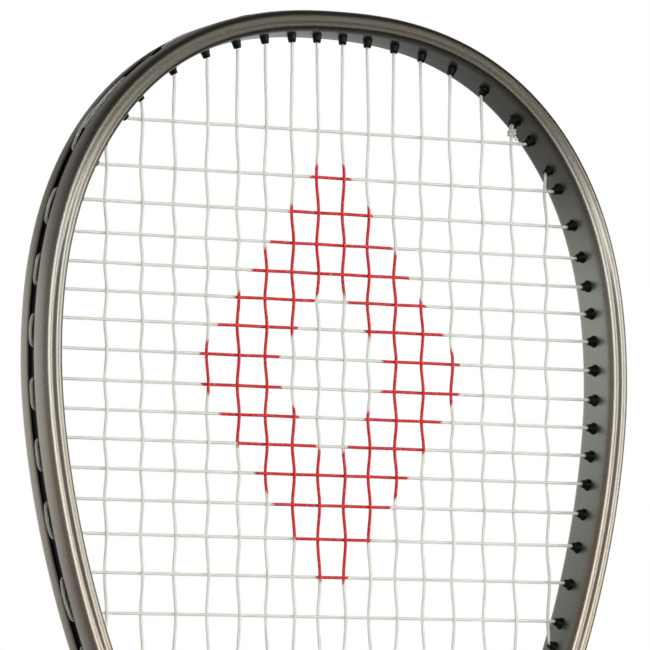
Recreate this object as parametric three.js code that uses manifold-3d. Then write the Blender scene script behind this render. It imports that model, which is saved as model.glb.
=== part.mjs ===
// A strung tennis racket with a rubber vibration dampener on its two centre main strings.
// Units are millimetres. +Z runs from the butt to the tip, +X across the head, -Y is the front.
// The origin is the centre of the butt end.
import * as THREE from 'three';
import { mergeVertices } from 'three/addons/utils/BufferGeometryUtils.js';
import Module from 'manifold-3d';

const wasm = await Module();
wasm.setup();

// ---------------------------------------------------------------- driving dimensions

// Centreline of the head: an upper and a lower superellipse that share their widest level.
const WIDEST_Z = 540.8;
const HEAD_HALF_WIDTH = 125.3;
const CROWN_RISE = 138.8;
const CROWN_POWER = 2.34;
const SIDE_DROP = 237.4;
const SIDE_POWER = 1.71;

// The arms leave the lower superellipse here and sweep down to the two tubes of the shaft.
const ARM_TOP_Z = 391;
const ARM_LEAD_LOW = 34;
const ARM_LEAD_HIGH = 105;
const SHAFT_TOP_Z = 232;
const SHAFT_X = 7.2;
const SHAFT_STRAIGHT_Z = 212;
const HANDLE_TUBE_X = 6.45;
const HANDLE_STRAIGHT_Z = 188;
const TUBE_END_Z = 16;

// Half width (in the string plane) and half depth (across it) of the tube at set heights.
const TUBE_SIZES = [
  { z: 190, width: 6.1, depth: 8.6 },
  { z: SHAFT_STRAIGHT_Z, width: 6.9, depth: 10.4 },
  { z: 250, width: 6.4, depth: 11.4 },
  { z: 330, width: 5.6, depth: 12.2 },
  { z: 430, width: 4.7, depth: 12.2 },
];
const TUBE_CORNER = 2.6;

// The groove round the outside of the head, where grommets and string loops lie.
const CHANNEL_HALF = 3.2;
const CHANNEL_DRAFT = 0.3;
const CHANNEL_DEPTH = 2.4;
const CHANNEL_FADE_LOW = 338;
const CHANNEL_FADE_HIGH = 352;

// The bridge closes the head above the throat.
const BRIDGE_Z = 348.5;
const BRIDGE_HALF_WIDTH = 4.5;
const BRIDGE_HALF_DEPTH = 11.4;
const BRIDGE_JOINT_Z = 425.8;
const BRIDGE_FLAT = 55;
const BRIDGE_RISE = 48;

// String pattern: distance of each main from the middle, and the gaps between the crosses.
const MAIN_OFFSETS = [5.7, 16.8, 28.7, 40.9, 54.3, 68.5, 82.6, 98];
const TOP_CROSS_Z = 637.2;
const CROSS_GAPS = [
  18.6, 14.2, 12.6, 11.6, 11, 11.2, 11.7, 12, 11.4, 11.3, 11.5, 12, 13.3, 15, 15.6, 17, 18.5, 19.5,
];
const STRING_RADIUS = 0.65;
const WEAVE = 1.35;
const LOOP_LANE = 1.5;
const LOOP_LEAD = 3.4;
const LOOP_STEP = 7;
const KNOT_RADIUS = 1.9;
const KNOT_STANDOFF = 0.7;

// Grommets.
const BARREL_RADIUS = 1.75;
const BORE_RADIUS = 1;
const HOLE_RADIUS = 2.1;
const BARREL_TIP = 3.5;
const BARREL_SETBACK = 0.6;
const TILT = 0.1;
const HEX = 6;
const CUT_PAST = 1;
const STRIP_THICKNESS = 0.6;
const LOOP_ABOVE_STRIP = 0.82;
const BARREL_SUNK = 1;
const BRIDGE_MAIN_LIMIT = 60;
const STRIP_END = 6;

// The bumper guard lies in a shallow seat round the crown, flush with the tube.
const BUMPER_HALF_SPAN = 77;
const BUMPER_SEAT = 1.3;
const SEAT_RAMP = 0.3;
const BUMPER_RIB_FOOT = 2.95;
const BUMPER_RIB_HEAD = 2.5;

// How many straight runs stand for each curve.
const ARM_RUNS = 9;
const SIDE_RUNS = 10;
const CROWN_RUNS = 16;
const BRIDGE_RUNS = 9;
const FINE = 6;
const ROUND_SEGMENTS = 20;

// Handle. Every outline along it is an octagon with one bevel size.
const GRIP = { width: 33, depth: 29, bevel: 5.5 };
const GRIP_FLARE = { low: 24, swell: 0.8, high: 36 };
const GRIP_WALL_AT_BUTT = 1.7;
const GRIP_TAPER = 0.2;
const PALLET = { width: 29.3, depth: 25.3, bevel: 4.6 };
const PALLET_TOP_Z = 186;
const RIM = { width: 38.6, depth: 34.6, bevel: 6.6 };
const RIM_Z = 6.4;
const RIM_EDGES = [
  { z: 0, inset: 1.5 },
  { z: 1.4, inset: 0.3 },
  { z: RIM_Z - 1, inset: 0 },
  { z: RIM_Z, inset: 0.4 },
];
const NECK_LOW = { width: 35, depth: 31, bevel: 6 };
const NECK_HIGH = { width: 31.2, depth: 27.2, bevel: 5 };
const CAP_FLOOR = 4;
const SKIRT_TOP_Z = 22;
const SKIRT_STEP = 4;
const DOOR = { width: 22, depth: 15, bevel: 4 };
const DOOR_LIP = 1.5;
const DOOR_LIP_THICKNESS = 1.4;
const DOOR_RECESS = 0.5;

const SHAFT_POCKET = { width: 25.6, depth: 17.7 };
const TAPE = { low: 171, high: 185, thickness: 0.35 };
const COLLAR = { low: 178, full: 181, waist: 188, neck: 199, high: 204, wall: 1.1, lip: 0.7 };
const COLLAR_NECK = { width: 29.6, depth: 24, bevel: 3.6 };
const PLUG = { width: 8, depth: 12.8, bevel: 2, low: 17, high: 52, pocketTop: 60 };
const STAPLE = { z: 12, half: 4.4, wire: 1, crownX: 16.4, crown: 0.6, legEnd: 12.7 };

// Dampener: a spool whose waist sits between the two centre mains.
const DAMPENER = { z: 370, front: 8.5, back: 7.6, waist: 4.75, slot: 0.95, frontY: -4.6, backY: 3.8 };
const DAMPENER_ROUND = 0.8;
const DAMPENER_CAP = { radius: 6, thickness: 1.4, chamfer: 0.4 };

// Clearance kept between pieces that touch on the real racket.
const GAP = 0.25;
const MERGE_DISTANCE = 1e-5;

// ---------------------------------------------------------------- small helpers

const v3 = (x, y, z) => new THREE.Vector3(x, y, z);
const v2 = (x, z) => new THREE.Vector2(x, z);
const steps = (count) => Array.from({ length: count }, (_, i) => i);
const smooth = (t) => THREE.MathUtils.smoothstep(t, 0, 1);

// Six times the signed volume of a closed mesh: positive when its faces point out.
function signedVolume(points, faces) {
  const tetrahedron = ([a, b, c]) => points[a].dot(points[b].clone().cross(points[c]));
  return faces.reduce((sum, face) => sum + tetrahedron(face), 0);
}

// Closed geometry from shared vertices and triangles, turned so that its faces point out.
function closedGeometry(points, faces) {
  const outward = signedVolume(points, faces) > 0;
  const index = faces.flatMap(([a, b, c]) => (outward ? [a, b, c] : [a, c, b]));
  const coordinates = points.flatMap((p) => p.toArray());
  const geometry = new THREE.BufferGeometry();
  geometry.setAttribute('position', new THREE.Float32BufferAttribute(coordinates, 3));
  geometry.setIndex(index);
  return geometry;
}

// Skin over rings of equal length, closed by flat ends. Each ring is a list of Vector3.
function skin(rings, flatEnd) {
  const n = rings[0].length;
  const turned = THREE.ShapeUtils.area(flatEnd) < 0;
  const flat = THREE.ShapeUtils.triangulateShape(flatEnd, []);
  const caps = flat.map(([a, b, c]) => (turned ? [a, c, b] : [a, b, c]));
  const last = (rings.length - 1) * n;
  const faces = [];
  for (const r of steps(rings.length - 1)) {
    for (const k of steps(n)) {
      const a = r * n + k;
      const b = r * n + ((k + 1) % n);
      faces.push([a, b, b + n], [a, b + n, a + n]);
    }
  }
  for (const [a, b, c] of caps) {
    faces.push([c, b, a], [last + a, last + b, last + c]);
  }
  return closedGeometry(rings.flat(), faces);
}

// Manifold solid from any closed three.js geometry, and the way back.
function toSolid(geometry) {
  const bare = geometry.clone();
  bare.deleteAttribute('normal');
  bare.deleteAttribute('uv');
  const merged = mergeVertices(bare, MERGE_DISTANCE);
  return new wasm.Manifold(new wasm.Mesh({
    numProp: 3,
    vertProperties: new Float32Array(merged.attributes.position.array),
    triVerts: new Uint32Array(merged.index.array),
  }));
}

function toGeometry(solid) {
  const { vertProperties, triVerts } = solid.getMesh();
  const geometry = new THREE.BufferGeometry();
  geometry.setAttribute('position', new THREE.BufferAttribute(vertProperties, 3));
  geometry.setIndex(new THREE.BufferAttribute(triVerts, 1));
  return geometry;
}

const cutAll = (solid, tools) => tools.reduce((left, tool) => left.subtract(tool), solid);
const joinAll = (solids) => solids.reduce((left, right) => left.add(right));
const largestPiece = (solid) => solid.decompose().sort((a, b) => b.volume() - a.volume())[0];

// Octagon with one bevel size, as used all along the handle.
function octagon({ width, depth, bevel }) {
  const x = width / 2;
  const y = depth / 2;
  return [
    v2(x, -y + bevel), v2(x, y - bevel), v2(x - bevel, y), v2(-x + bevel, y),
    v2(-x, y - bevel), v2(-x, -y + bevel), v2(-x + bevel, -y), v2(x - bevel, -y),
  ];
}

const grow = ({ width, depth, bevel }, by) => ({
  width: width + 2 * by,
  depth: depth + 2 * by,
  bevel: bevel + by * 0.6,
});

// Solid through octagons at rising heights.
function octagonLoft(levels) {
  const outlines = levels.map(([z, size]) => octagon(size).map((p) => v3(p.x, p.y, z)));
  return toSolid(skin(outlines, octagon(levels[0][1])));
}

const octagonPrism = (size, low, high) => octagonLoft([[low, size], [high, size]]);

// Six-sided rod between two points.
function hexRod(from, to, radius) {
  const rod = new THREE.CylinderGeometry(radius, radius, from.distanceTo(to), HEX);
  const turn = new THREE.Quaternion().setFromUnitVectors(v3(0, 1, 0), to.clone().sub(from).normalize());
  rod.applyQuaternion(turn);
  rod.translate(...from.clone().add(to).multiplyScalar(0.5).toArray());
  return toSolid(rod);
}

// ---------------------------------------------------------------- centrelines

// A smooth line in the string plane, measured along its length. Its normal points out of the head.
class Rail {
  constructor(points) {
    this.points = points;
    this.lengths = [0];
    for (const i of steps(points.length - 1)) {
      this.lengths.push(this.lengths[i] + points[i].distanceTo(points[i + 1]));
    }
    this.length = this.lengths.at(-1);
  }

  at(s) {
    const after = this.lengths.findIndex((length) => length > s);
    const i = Math.min(Math.max(after < 0 ? this.points.length - 1 : after, 1), this.points.length - 1);
    const t = (s - this.lengths[i - 1]) / (this.lengths[i] - this.lengths[i - 1]);
    const point = this.points[i - 1].clone().lerp(this.points[i], t);
    const before = this.points[Math.max(i - 2, 0)];
    const beyond = this.points[Math.min(i + 1, this.points.length - 1)];
    const run = beyond.clone().sub(before).normalize();
    return { point, normal: v2(run.y, -run.x) };
  }

  // Where a straight line from start along way first meets the rail.
  meet(start, way) {
    let best = null;
    for (const i of steps(this.points.length - 1)) {
      const a = this.points[i].clone().sub(start);
      const b = this.points[i + 1].clone().sub(start);
      const sideA = way.cross(a);
      const sideB = way.cross(b);
      if (sideA * sideB > 0 || sideA === sideB) continue;
      const t = sideA / (sideA - sideB);
      const reach = a.clone().lerp(b, t).dot(way);
      const s = this.lengths[i] + t * (this.lengths[i + 1] - this.lengths[i]);
      if (reach > 0 && (!best || reach < best.reach)) best = { reach, s };
    }
    return best;
  }
}

function superPoint(angle) {
  const c = Math.cos(angle);
  const s = Math.sin(angle);
  const power = s >= 0 ? CROWN_POWER : SIDE_POWER;
  const height = s >= 0 ? CROWN_RISE : SIDE_DROP;
  const x = HEAD_HALF_WIDTH * Math.sign(c) * Math.abs(c) ** (2 / power);
  const z = WIDEST_Z + height * Math.sign(s) * Math.abs(s) ** (2 / power);
  return v2(x, z);
}

// The lower superellipse angle at a given height.
const sideAngle = (z) => -Math.asin(((WIDEST_Z - z) / SIDE_DROP) ** (SIDE_POWER / 2));

// Right half of the hairpin, from the tube end in the handle up to the middle of the crown.
function rightHalf(armRuns, sideRuns, crownRuns) {
  const low = sideAngle(ARM_TOP_Z);
  const top = superPoint(low);
  const slope = superPoint(low + 0.01).sub(superPoint(low - 0.01)).normalize();
  const arm = new THREE.CubicBezierCurve(
    v2(SHAFT_X, SHAFT_TOP_Z), v2(SHAFT_X, SHAFT_TOP_Z + ARM_LEAD_LOW),
    top.clone().addScaledVector(slope, -ARM_LEAD_HIGH), top,
  );
  return [
    v2(HANDLE_TUBE_X, TUBE_END_Z), v2(HANDLE_TUBE_X, HANDLE_STRAIGHT_Z), v2(SHAFT_X, SHAFT_STRAIGHT_Z),
    ...arm.getPoints(armRuns),
    ...steps(sideRuns).slice(1).map((i) => superPoint(low * (1 - i / sideRuns))),
    ...steps(crownRuns + 1).map((i) => superPoint((Math.PI / 2) * (i / crownRuns))),
  ];
}

function hairpinPoints(...detail) {
  const right = rightHalf(...detail);
  const left = right.slice(0, -1).reverse().map((p) => v2(-p.x, p.y));
  return [...right, ...left];
}

function bridgePoints(count) {
  const end = superPoint(sideAngle(BRIDGE_JOINT_Z));
  const near = superPoint(sideAngle(BRIDGE_JOINT_Z - 10));
  const lean = end.clone().sub(near).normalize().multiplyScalar(-BRIDGE_RISE).add(end);
  const half = new THREE.CubicBezierCurve(v2(0, BRIDGE_Z), v2(BRIDGE_FLAT, BRIDGE_Z), lean, end);
  const right = half.getPoints(count);
  return [...right.slice(1).reverse().map((p) => v2(-p.x, p.y)), ...right];
}

const COARSE_HAIRPIN = hairpinPoints(ARM_RUNS, SIDE_RUNS, CROWN_RUNS);
const COARSE_BRIDGE = bridgePoints(BRIDGE_RUNS);
const hairpin = new Rail(hairpinPoints(ARM_RUNS * FINE, SIDE_RUNS * FINE, CROWN_RUNS * FINE));
const bridge = new Rail(bridgePoints(BRIDGE_RUNS * FINE));

// Half width and half depth of the tube at a height.
function tubeSize(z) {
  const i = TUBE_SIZES.findIndex((size) => size.z > z);
  if (i === 0) return TUBE_SIZES[0];
  if (i < 0) return TUBE_SIZES.at(-1);
  const [low, high] = [TUBE_SIZES[i - 1], TUBE_SIZES[i]];
  const t = smooth((z - low.z) / (high.z - low.z));
  return {
    width: THREE.MathUtils.lerp(low.width, high.width, t),
    depth: THREE.MathUtils.lerp(low.depth, high.depth, t),
  };
}

const bridgeSize = () => ({ width: BRIDGE_HALF_WIDTH, depth: BRIDGE_HALF_DEPTH });

function channelDepth(z) {
  return CHANNEL_DEPTH * smooth((z - CHANNEL_FADE_LOW) / (CHANNEL_FADE_HIGH - CHANNEL_FADE_LOW));
}

const bumperLow = hairpin.meet(v2(BUMPER_HALF_SPAN, WIDEST_Z), v2(0, 1)).s;
const bumperHigh = hairpin.length - bumperLow;
const seatDepth = (z) => (z > hairpin.at(bumperLow).point.y ? BUMPER_SEAT : 0);

// ---------------------------------------------------------------- sections swept along a rail

// Box with cut corners and a channel in its outer side, which stands back by seat.
// u points out of the head, v along Y.
function tubeSection({ width: b, depth: a }, channel, seat = 0) {
  const r = TUBE_CORNER;
  const front = [
    v2(b - Math.max(channel, seat), -CHANNEL_HALF + CHANNEL_DRAFT), v2(b - seat, -CHANNEL_HALF),
    v2(b - seat, -a + r), v2(b - r, -a), v2(-b + r, -a), v2(-b, -a + r),
  ];
  const back = front.map((p) => v2(p.x, -p.y)).reverse();
  return [...front, ...back];
}

function stationRing({ point, normal }, section) {
  return section.map(({ x: u, y: v }) => v3(point.x + normal.x * u, v, point.y + normal.y * u));
}

// Sweep between the given lengths of a rail; section(z) gives the outline there.
function sweep(rail, lengths, section) {
  const stations = lengths.map((s) => rail.at(s));
  const rings = stations.map((station) => stationRing(station, section(station.point.y)));
  return toSolid(skin(rings, section(stations[0].point.y)));
}

// Lengths of the rail at its coarse design points, so the sweep has few flat facets.
function coarseLengths(rail, coarse) {
  const { length, lengths } = new Rail(coarse);
  return lengths.map((s) => (s * rail.length) / length);
}

const hairpinLengths = coarseLengths(hairpin, COARSE_HAIRPIN);
const bridgeLengths = coarseLengths(bridge, COARSE_BRIDGE);

// The stations from low to high: both ends, and the given lengths that aren't close to an end.
const NEAR_END = 2;
function between(lengths, low, high) {
  return [low, ...lengths.filter((s) => s > low + NEAR_END && s < high - NEAR_END), high];
}

// ---------------------------------------------------------------- string pattern and holes

const mains = [...MAIN_OFFSETS.map((x) => -x).reverse(), ...MAIN_OFFSETS];
const crosses = CROSS_GAPS.reduce((list, gap) => [...list, list.at(-1) - gap], [TOP_CROSS_Z]);
const stringLevel = (width) => width - CHANNEL_DEPTH + GAP + STRIP_THICKNESS + LOOP_ABOVE_STRIP;

// One grommet hole: its mouth on the string's line, its axis, and its exit at the loops' level.
function grommetHole(start, way) {
  const onBridge = bridge.meet(start, way);
  const onHairpin = hairpin.meet(start, way);
  const nearBridge = onBridge && (!onHairpin || onBridge.reach < onHairpin.reach);
  const [innerRail, { reach, s }] = nearBridge ? [bridge, onBridge] : [hairpin, onHairpin];
  const { point, normal } = innerRail.at(s);
  const outer = nearBridge && way.y < 0 && Math.abs(start.x) < BRIDGE_MAIN_LIMIT ? bridge : hairpin;
  const wall = nearBridge ? BRIDGE_HALF_WIDTH : tubeSize(point.y).width;
  const mouth = start.clone().addScaledVector(way, reach - (wall + BARREL_TIP) / way.dot(normal));
  const side = outer.at(outer.meet(mouth, normal).s).normal;
  const axis = way.clone().multiplyScalar(TILT).addScaledVector(side, 1 - TILT).normalize();
  return holeFrom(outer, mouth, axis);
}

function holeFrom(rail, mouth, axis) {
  const { reach, s } = rail.meet(mouth, axis);
  const { point, normal } = rail.at(s);
  const { width } = rail === bridge ? bridgeSize() : tubeSize(point.y);
  const exit = mouth.clone().addScaledVector(axis, reach + stringLevel(width) / axis.dot(normal));
  return { rail, mouth, axis, exit, s: s + exit.clone().sub(point).dot(v2(-normal.y, normal.x)) };
}

// Extra hole for a string's knotted end, straight through the wall at a length of the hairpin.
function tieOffHole(s) {
  const { point, normal } = hairpin.at(s);
  const mouth = point.clone().addScaledVector(normal, -tubeSize(point.y).width - BARREL_TIP);
  return holeFrom(hairpin, mouth, normal);
}

const mainTops = mains.map((x) => grommetHole(v2(x, WIDEST_Z), v2(0, 1)));
const mainBottoms = mains.map((x) => grommetHole(v2(x, WIDEST_Z), v2(0, -1)));
const crossRights = crosses.map((z) => grommetHole(v2(0, z), v2(1, 0)));
const crossLefts = crosses.map((z) => grommetHole(v2(0, z), v2(-1, 0)));

const part = (from, to, share) => from.s + (to.s - from.s) * share;
const ties = {
  crossStart: tieOffHole(part(mainTops[13], mainTops[14], 0.5)),
  mainRight: tieOffHole(part(crossRights[16], crossRights[17], 0.5)),
  mainLeft: tieOffHole(part(crossLefts[16], crossLefts[17], 0.34)),
  crossEnd: tieOffHole(part(crossLefts[16], crossLefts[17], 0.66)),
};
const allHoles = [...mainTops, ...mainBottoms, ...crossRights, ...crossLefts, ...Object.values(ties)];

// ---------------------------------------------------------------- strings

const inPlane = (p, y = 0) => v3(p.x, y, p.y);

// Centreline of one main, from its bottom exit to its top exit. The mains run straight.
function mainRun(i) {
  const [low, high] = [mainBottoms[i], mainTops[i]];
  return [low.exit, low.mouth, high.mouth, high.exit].map((p) => inPlane(p));
}

// Centreline of one cross, from its left exit to its right exit, over one main and under the next.
function crossRun(j) {
  const [left, right] = [crossLefts[j], crossRights[j]];
  const z = crosses[j];
  const inside = (i) => Math.abs(mains[i]) < right.mouth.x;
  const spans = (i) => mainTops[i].mouth.y > z && mainBottoms[i].mouth.y < z;
  const met = steps(mains.length).filter((i) => inside(i) && spans(i));
  return [
    inPlane(left.exit), inPlane(left.mouth),
    ...met.map((i) => v3(mains[i], (i + j) % 2 ? WEAVE : -WEAVE, z)),
    inPlane(right.mouth), inPlane(right.exit),
  ];
}

// Points of a loop in the channel between two exits. Where it passes another hole it moves to a
// lane beside it; lane is the Y it moves to.
function loopPoints(from, to, lane) {
  const [low, high] = from.s < to.s ? [from, to] : [to, from];
  const lies = (hole) => hole.rail === low.rail && hole.s > low.s + 1 && hole.s < high.s - 1;
  const y = allHoles.some(lies) ? lane : 0;
  const start = low.s + LOOP_LEAD;
  const run = high.s - LOOP_LEAD - start;
  const count = Math.max(1, Math.round(run / LOOP_STEP));
  const points = steps(count + 1).map((k) => {
    const { point, normal } = low.rail.at(start + (run * k) / count);
    const { width } = low.rail === bridge ? bridgeSize() : tubeSize(point.y);
    return inPlane(point.clone().addScaledVector(normal, stringLevel(width)), y);
  });
  return from.s < to.s ? points : points.reverse();
}

const tail = (from, tie, lane) => [...loopPoints(from, tie, lane), inPlane(tie.exit), inPlane(tie.mouth)];

function mainPath() {
  const path = [...tail(mainBottoms[0], ties.mainLeft, -LOOP_LANE)].reverse();
  for (const i of steps(mains.length)) {
    path.push(...(i % 2 ? mainRun(i).reverse() : mainRun(i)));
    const exits = i % 2 ? mainBottoms : mainTops;
    const lane = i === 1 ? LOOP_LANE : -LOOP_LANE;
    if (i + 1 < mains.length) path.push(...loopPoints(exits[i], exits[i + 1], lane));
  }
  return [...path, ...tail(mainBottoms[15], ties.mainRight, -LOOP_LANE)];
}

function crossPath() {
  const path = [...tail(crossRights[0], ties.crossStart, LOOP_LANE)].reverse();
  for (const j of steps(crosses.length)) {
    path.push(...(j % 2 ? crossRun(j) : crossRun(j).reverse()));
    const exits = j % 2 ? crossRights : crossLefts;
    if (j + 1 < crosses.length) path.push(...loopPoints(exits[j], exits[j + 1], LOOP_LANE));
  }
  return [...path, ...tail(crossLefts[18], ties.crossEnd, -LOOP_LANE)];
}

// Square string swept along straight runs, mitred where they meet.
function stringSolid(path) {
  const ways = steps(path.length - 1).map((k) => path[k + 1].clone().sub(path[k]).normalize());
  const side = ways[0].clone().cross(v3(0, 1, 0)).normalize();
  const up = side.clone().cross(ways[0]);
  const corners = [[1, 1], [1, -1], [-1, -1], [-1, 1]];
  const half = STRING_RADIUS * Math.SQRT1_2;
  const corner = ([a, b]) => path[0].clone().addScaledVector(side, a * half).addScaledVector(up, b * half);
  const rings = [corners.map(corner)];
  for (const k of steps(path.length).slice(1)) {
    const way = ways[k - 1];
    const plane = way.clone().add(ways[Math.min(k, ways.length - 1)]).normalize();
    rings.push(rings.at(-1).map((p) => {
      const travel = path[k].clone().sub(p).dot(plane) / way.dot(plane);
      return p.clone().addScaledVector(way, travel);
    }));
  }
  return toSolid(skin(rings, corners.map(([a, b]) => v2(a, b))));
}

// Point on a hole's axis, at a distance past its mouth or past another point.
function along(hole, distance, from = hole.mouth) {
  return inPlane(from.clone().addScaledVector(hole.axis, distance));
}

// The knot that stops a string end, just inside the head.
function knot(tie) {
  const ball = new THREE.IcosahedronGeometry(KNOT_RADIUS, 1);
  ball.translate(...along(tie, -KNOT_RADIUS * KNOT_STANDOFF).toArray());
  return toSolid(ball);
}

const mainString = () => joinAll([stringSolid(mainPath()), knot(ties.mainLeft), knot(ties.mainRight)]);
const crossString = () => joinAll([stringSolid(crossPath()), knot(ties.crossStart), knot(ties.crossEnd)]);

// ---------------------------------------------------------------- frame and grommets

// Rod along a hole's axis, from a distance past its mouth to a distance past its exit.
function holeRod(hole, start, end, radius) {
  return hexRod(along(hole, start), along(hole, end, hole.exit), radius);
}

const drill = (hole) => holeRod(hole, 0, CUT_PAST * 2, HOLE_RADIUS);
const barrel = (hole) => holeRod(hole, BARREL_SETBACK, -BARREL_SUNK, BARREL_RADIUS);
const bore = (hole) => holeRod(hole, -CUT_PAST, CUT_PAST, BORE_RADIUS);

const seatEdges = [bumperLow, bumperHigh].flatMap((s) => [s - SEAT_RAMP, s + SEAT_RAMP]);

function tube() {
  const lengths = [...hairpinLengths, ...seatEdges].sort((a, b) => a - b);
  return sweep(hairpin, lengths, (z) => tubeSection(tubeSize(z), channelDepth(z), seatDepth(z)));
}

// The tube's outline grown by the clearance, without its channel.
function tubeClearance() {
  return sweep(hairpin, hairpinLengths, (z) => {
    const { width, depth } = tubeSize(z);
    return tubeSection({ width: width + GAP, depth: depth + GAP }, 0);
  });
}

function plugSolid(side, size, low, high) {
  return octagonPrism(size, low, high).translate([side * HANDLE_TUBE_X, 0, 0]);
}

function frame() {
  const pockets = [-1, 1].map((side) => plugSolid(side, grow(PLUG, GAP), TUBE_END_Z - 1, PLUG.pocketTop));
  return cutAll(tube(), [...allHoles.map(drill), ...pockets]);
}

function throatBridge() {
  const solid = sweep(bridge, bridgeLengths, () => tubeSection(bridgeSize(), CHANNEL_DEPTH));
  return largestPiece(cutAll(solid, [tubeClearance(), ...allHoles.map(drill)]));
}

const stripLow = (width) => width - CHANNEL_DEPTH + GAP;

function stripSection({ width }) {
  const low = stripLow(width);
  const high = low + STRIP_THICKNESS;
  const half = CHANNEL_HALF - CHANNEL_DRAFT - GAP;
  return [v2(high, -half), v2(low, -half), v2(low, half), v2(high, half)];
}

// Hat section: a web on the channel floor and two ribs that fill the seat on the outside of the tube.
function bumperSection({ width, depth }) {
  const low = stripLow(width);
  const floor = low + STRIP_THICKNESS;
  const under = width - BUMPER_SEAT + GAP;
  const rib = depth - TUBE_CORNER;
  const half = CHANNEL_HALF - CHANNEL_DRAFT - GAP;
  const front = [
    v2(floor, -half + GAP), v2(width, -BUMPER_RIB_HEAD), v2(width, -rib), v2(under, -rib),
    v2(under, -BUMPER_RIB_FOOT), v2(low, -half),
  ];
  return [...front, ...front.map((p) => v2(p.x, -p.y)).reverse()];
}

function grommetStrip(rail, low, high, section, holes) {
  const coarse = rail === bridge ? bridgeLengths : hairpinLengths;
  const size = rail === bridge ? bridgeSize : tubeSize;
  const base = sweep(rail, between(coarse, low, high), (z) => section(size(z)));
  return cutAll(joinAll([base, ...holes.map(barrel)]), holes.map(bore));
}

const stripLowEnd = mainBottoms[13].s - STRIP_END;
const stripHighEnd = hairpin.length - stripLowEnd;

function holesBetween(rail, low, high) {
  return allHoles.filter((hole) => hole.rail === rail && hole.s > low && hole.s < high);
}

function hairpinStrip(low, high, section) {
  return grommetStrip(hairpin, low, high, section, holesBetween(hairpin, low, high));
}

const seatEnd = SEAT_RAMP + GAP;
const bumperGuard = () => hairpinStrip(bumperLow + seatEnd, bumperHigh - seatEnd, bumperSection);
const rightStrip = () => hairpinStrip(stripLowEnd, bumperLow, stripSection);
const leftStrip = () => hairpinStrip(bumperHigh, stripHighEnd, stripSection);

function throatStrip() {
  const holes = holesBetween(bridge, 0, bridge.length);
  const low = holes[0].s - STRIP_END;
  return grommetStrip(bridge, low, bridge.length - low, stripSection, holes);
}

// ---------------------------------------------------------------- handle

const staplePockets = () => [-1, 1].map((side) => stapleSolid(side, GAP));

// One half of the moulded handle; side is -1 for the front half and 1 for the back half.
function pallet(side) {
  const whole = octagonPrism(PALLET, CAP_FLOOR + GAP, PALLET_TOP_Z);
  const tubes = new THREE.BoxGeometry(SHAFT_POCKET.width, SHAFT_POCKET.depth, 3 * PALLET_TOP_Z);
  const other = new THREE.BoxGeometry(2 * PALLET.width, 2 * PALLET.depth, 3 * PALLET_TOP_Z);
  other.translate(0, side * (GAP / 2 - PALLET.depth), 0);
  return cutAll(whole, [toSolid(tubes), toSolid(other), ...staplePockets()]);
}

function buttCap() {
  const rim = octagonLoft(RIM_EDGES.map(({ z, inset }) => [z, grow(RIM, -inset)]));
  const neck = octagonLoft([[RIM_Z - 1, NECK_LOW], [SKIRT_TOP_Z, NECK_HIGH]]);
  const cavity = octagonPrism(grow(PALLET, GAP), CAP_FLOOR, SKIRT_TOP_Z + 1);
  const opening = octagonPrism(grow(DOOR, GAP), -1, CAP_FLOOR + 1);
  const rabbet = octagonPrism(grow(DOOR, DOOR_LIP + GAP), -1, DOOR_LIP_THICKNESS + GAP);
  return cutAll(rim.add(neck), [cavity, opening, rabbet, ...staplePockets()]);
}

function trapDoor() {
  const lip = octagonPrism(grow(DOOR, DOOR_LIP), 0, DOOR_LIP_THICKNESS);
  return lip.add(octagonPrism(DOOR, DOOR_LIP_THICKNESS - DOOR_RECESS, CAP_FLOOR - DOOR_RECESS));
}

// Staple with its crown along Y; extra grows it to cut its own pocket.
function stapleSolid(side, extra) {
  const { half, wire, crownX, crown, legEnd } = STAPLE;
  const out = crownX + extra;
  const under = crownX - crown - extra;
  const tip = legEnd - extra;
  const wide = half + extra;
  const leg = half - wire - extra;
  const outline = new THREE.Shape([
    v2(out, -wide), v2(out, wide), v2(tip, wide), v2(tip, leg), v2(under, leg), v2(under, -leg),
    v2(tip, -leg), v2(tip, -wide),
  ]);
  const height = wire + 2 * extra;
  const wireShape = new THREE.ExtrudeGeometry(outline, { depth: height, bevelEnabled: false });
  wireShape.translate(0, 0, STAPLE.z - height / 2);
  const solid = toSolid(wireShape);
  return side > 0 ? solid : solid.rotate([0, 0, 180]);
}

function grip() {
  const low = RIM_Z + GAP;
  const wrapped = TAPE.low - 1;
  const outer = octagonLoft([
    [low, grow(NECK_LOW, GRIP_WALL_AT_BUTT)], [GRIP_FLARE.low, grow(GRIP, GRIP_FLARE.swell)],
    [GRIP_FLARE.high, GRIP], [wrapped, GRIP], [PALLET_TOP_Z, grow(GRIP, -GRIP_TAPER)],
  ]);
  const inner = octagonLoft([
    [low - 1, grow(NECK_LOW, 2 * GAP)], [SKIRT_TOP_Z, grow(NECK_HIGH, GAP)],
    [SKIRT_TOP_Z + SKIRT_STEP, grow(PALLET, GAP)], [PALLET_TOP_Z + 1, grow(PALLET, GAP)],
  ]);
  return outer.subtract(inner);
}

function finishingTape() {
  const outer = octagonPrism(grow(GRIP, GAP + TAPE.thickness), TAPE.low, TAPE.high);
  return outer.subtract(octagonPrism(grow(GRIP, GAP), TAPE.low - 1, TAPE.high + 1));
}

function collar() {
  const body = grow(GRIP, 2 * GAP + TAPE.thickness);
  const { low, full, waist, neck, high, wall, lip } = COLLAR;
  const outside = octagonLoft([
    [low, grow(body, lip)], [full, grow(body, wall)], [waist, grow(body, wall)],
    [neck, grow(COLLAR_NECK, wall)], [high, grow(COLLAR_NECK, lip)],
  ]);
  const inside = octagonLoft([[low - 1, body], [waist, body], [neck, COLLAR_NECK], [high + 1, COLLAR_NECK]]);
  return outside.subtract(inside);
}

const tubePlug = (side) => plugSolid(side, PLUG, PLUG.low, PLUG.high);

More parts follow.
